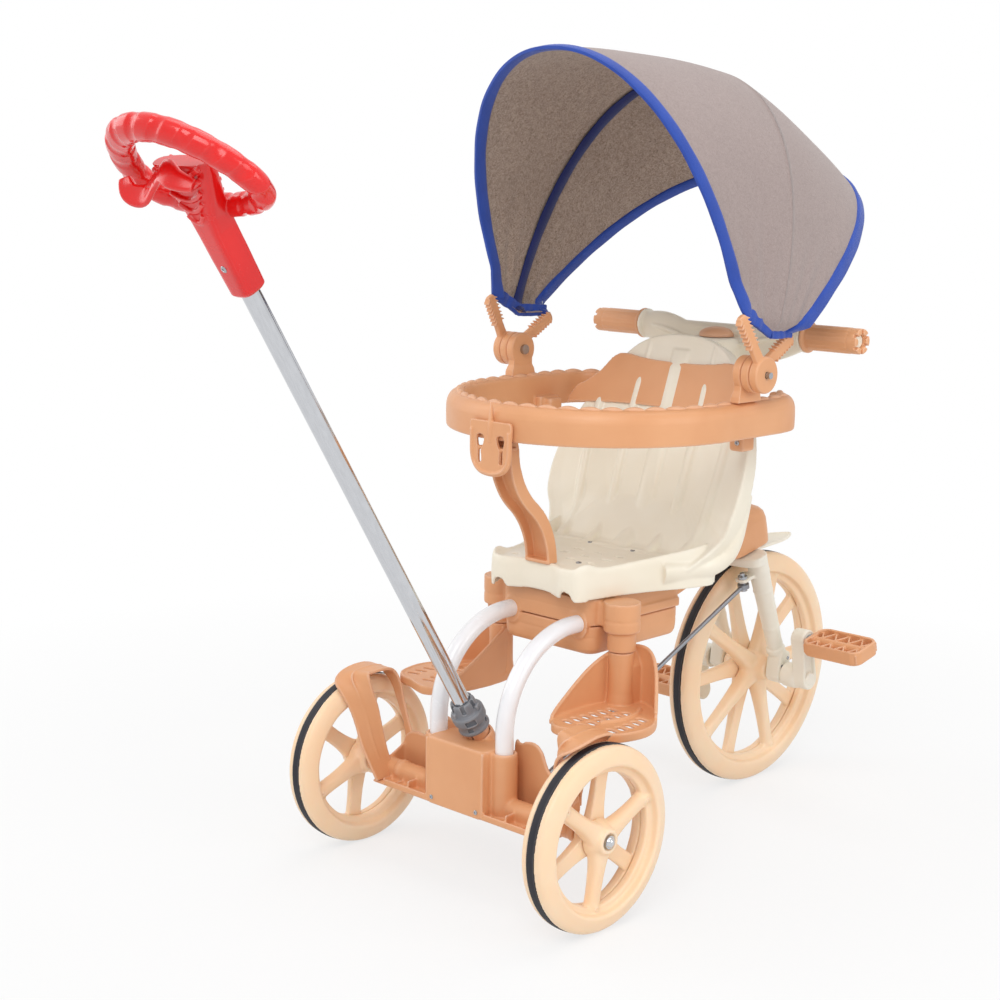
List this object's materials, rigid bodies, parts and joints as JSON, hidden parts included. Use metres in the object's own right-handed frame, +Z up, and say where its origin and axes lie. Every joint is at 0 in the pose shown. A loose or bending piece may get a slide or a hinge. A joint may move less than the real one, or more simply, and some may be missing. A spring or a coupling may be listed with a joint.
{
  "type": "children's tricycle",
  "caption": "Pushable children's tricycle: spoked plastic wheels, bucket seat with safety ring, folding cloth canopy, footrests and a pole that steers the front wheel.",
  "frame": {"origin": "on the ground, at the middle of the object's box", "axes": "+Y towards the front wheel, +X across the wheels to the rider's right when facing the front wheel, +Z up"},
  "size_m": [0.455, 1.1914, 1.019],
  "materials": {
    "tan_plastic": "satin moulded",
    "peach_plastic": "satin moulded",
    "cream_plastic": "smooth moulded",
    "white_paint": "gloss powder coat",
    "band_rubber": "matt",
    "bright_steel": "zinc plated",
    "chrome": "polished",
    "red_plastic": "gloss",
    "grey_plastic": "satin",
    "canopy_cloth": "nonwoven cloth with blue binding"
  },
  "bodies": {
    "frame": {"rear_base": "tan_plastic", "fender_left": "tan_plastic", "fender_right": "tan_plastic", "rear_axle": "bright_steel", "axle_caps": "chrome", "pole_cup": "tan_plastic", "frame_tube_left": "white_paint", "frame_tube_right": "white_paint", "housing_upper": "tan_plastic", "housing_lower": "tan_plastic", "housing_screws": "bright_steel", "head_frame": "tan_plastic", "seat": "cream_plastic", "seat_bolts": "bright_steel", "safety_ring": "tan_plastic", "ring_latch": "tan_plastic", "crotch_post": "tan_plastic", "canopy_base_left": "tan_plastic", "canopy_base_right": "tan_plastic", "canopy_pins": "bright_steel"},
    "steering": {"fork": "cream_plastic", "steering_stem": "bright_steel", "handlebar": "cream_plastic", "grip_left": "tan_plastic", "grip_right": "tan_plastic", "handlebar_knob": "tan_plastic", "mudguard": "cream_plastic", "ear_bolt": "bright_steel"},
    "front_wheel": {"front_wheel_left": "peach_plastic", "front_wheel_right": "peach_plastic", "front_wheel_band": "band_rubber", "front_wheel_screws": "bright_steel", "front_axle": "bright_steel", "crank_left": "cream_plastic", "crank_right": "cream_plastic", "pedal_spindles": "bright_steel"},
    "left_pedal": {"pedal_left": "tan_plastic"},
    "right_pedal": {"pedal_right": "tan_plastic"},
    "rear_wheel_left": {"rear_wheel_outer_left": "peach_plastic", "rear_wheel_inner_left": "peach_plastic", "rear_wheel_band_left": "band_rubber"},
    "rear_wheel_right": {"rear_wheel_outer_right": "peach_plastic", "rear_wheel_inner_right": "peach_plastic", "rear_wheel_band_right": "band_rubber"},
    "push_bar": {"push_pole": "chrome", "push_handle": "red_plastic", "handle_screw": "bright_steel", "pole_arm": "bright_steel"},
    "collar": {"lock_collar": "grey_plastic"},
    "rod": {"steering_rod": "bright_steel"},
    "left_footrest": {"footrest_left": "tan_plastic"},
    "right_footrest": {"footrest_right": "tan_plastic"},
    "canopy_rear": {"canopy_arms_rear": "tan_plastic", "bow_rear": "bright_steel", "cover_rear": "canopy_cloth"},
    "canopy_middle": {"bow_middle": "bright_steel", "cover_front": "canopy_cloth"},
    "canopy_front": {"canopy_arms_front": "tan_plastic", "bow_front": "bright_steel"}
  },
  "joints": [
    {"name": "steer", "type": "hinge", "parent": "frame", "child": "steering", "pos_m": [0, 0.3717, 0.3], "axis": [0, -0.2079, 0.9781], "range_deg": [-18, 18]},
    {"name": "front_wheel_spin", "type": "hinge", "parent": "steering", "child": "front_wheel", "pos_m": [0, 0.4307, 0.165], "axis": [1, 0, 0], "continuous": true},
    {"name": "right_pedal_spin", "type": "hinge", "parent": "front_wheel", "child": "right_pedal", "pos_m": [0.155, 0.42263, 0.22244], "axis": [1, 0, 0], "continuous": true},
    {"name": "left_pedal_spin", "type": "hinge", "parent": "front_wheel", "child": "left_pedal", "pos_m": [-0.155, 0.43877, 0.10756], "axis": [1, 0, 0], "continuous": true},
    {"name": "rear_left_spin", "type": "hinge", "parent": "frame", "child": "rear_wheel_left", "pos_m": [-0.201, -0.1253, 0.11], "axis": [1, 0, 0], "continuous": true},
    {"name": "rear_right_spin", "type": "hinge", "parent": "frame", "child": "rear_wheel_right", "pos_m": [0.201, -0.1253, 0.11], "axis": [1, 0, 0], "continuous": true},
    {"name": "push_turn", "type": "hinge", "parent": "frame", "child": "push_bar", "pos_m": [0, -0.1114, 0.18], "axis": [0, -0.5255, 0.8508], "range_deg": [-23.5, 23.5]},
    {"name": "collar_turn", "type": "hinge", "parent": "frame", "child": "collar", "pos_m": [0, -0.1114, 0.18], "axis": [0, -0.5255, 0.8508], "range_deg": [0, 30]},
    {"name": "rod_follow", "type": "hinge", "parent": "steering", "child": "rod", "pos_m": [0.04, 0.35439, 0.3045], "axis": [0, -0.2079, 0.9781], "range_deg": [-18.5, 18.5]},
    {"name": "right_footrest_swing", "type": "hinge", "parent": "frame", "child": "right_footrest", "pos_m": [0.102, 0.0287, 0.26], "axis": [0, 0, 1], "range_deg": [-3, 30]},
    {"name": "left_footrest_swing", "type": "hinge", "parent": "frame", "child": "left_footrest", "pos_m": [-0.102, 0.0287, 0.26], "axis": [0, 0, -1], "range_deg": [-3, 30]},
    {"name": "canopy_tilt", "type": "hinge", "parent": "frame", "child": "canopy_rear", "pos_m": [0, 0.1467, 0.618], "axis": [1, 0, 0], "range_deg": [-8, 45]},
    {"name": "canopy_fold", "type": "hinge", "parent": "canopy_rear", "child": "canopy_middle", "pos_m": [0, 0.1467, 0.618], "axis": [-1, 0, 0], "range_deg": [0, 30]},
    {"name": "canopy_front_fold", "type": "hinge", "parent": "canopy_middle", "child": "canopy_front", "pos_m": [0, 0.1467, 0.618], "axis": [-1, 0, 0], "range_deg": [0, 33]}
  ],
  "couplings": [
    {"joint": "push_turn", "follows": "steer", "ratio": 1.28},
    {"joint": "rod_follow", "follows": "steer", "ratio": -1},
    {"joint": "canopy_front_fold", "follows": "canopy_fold", "ratio": 1.1}
  ]
}
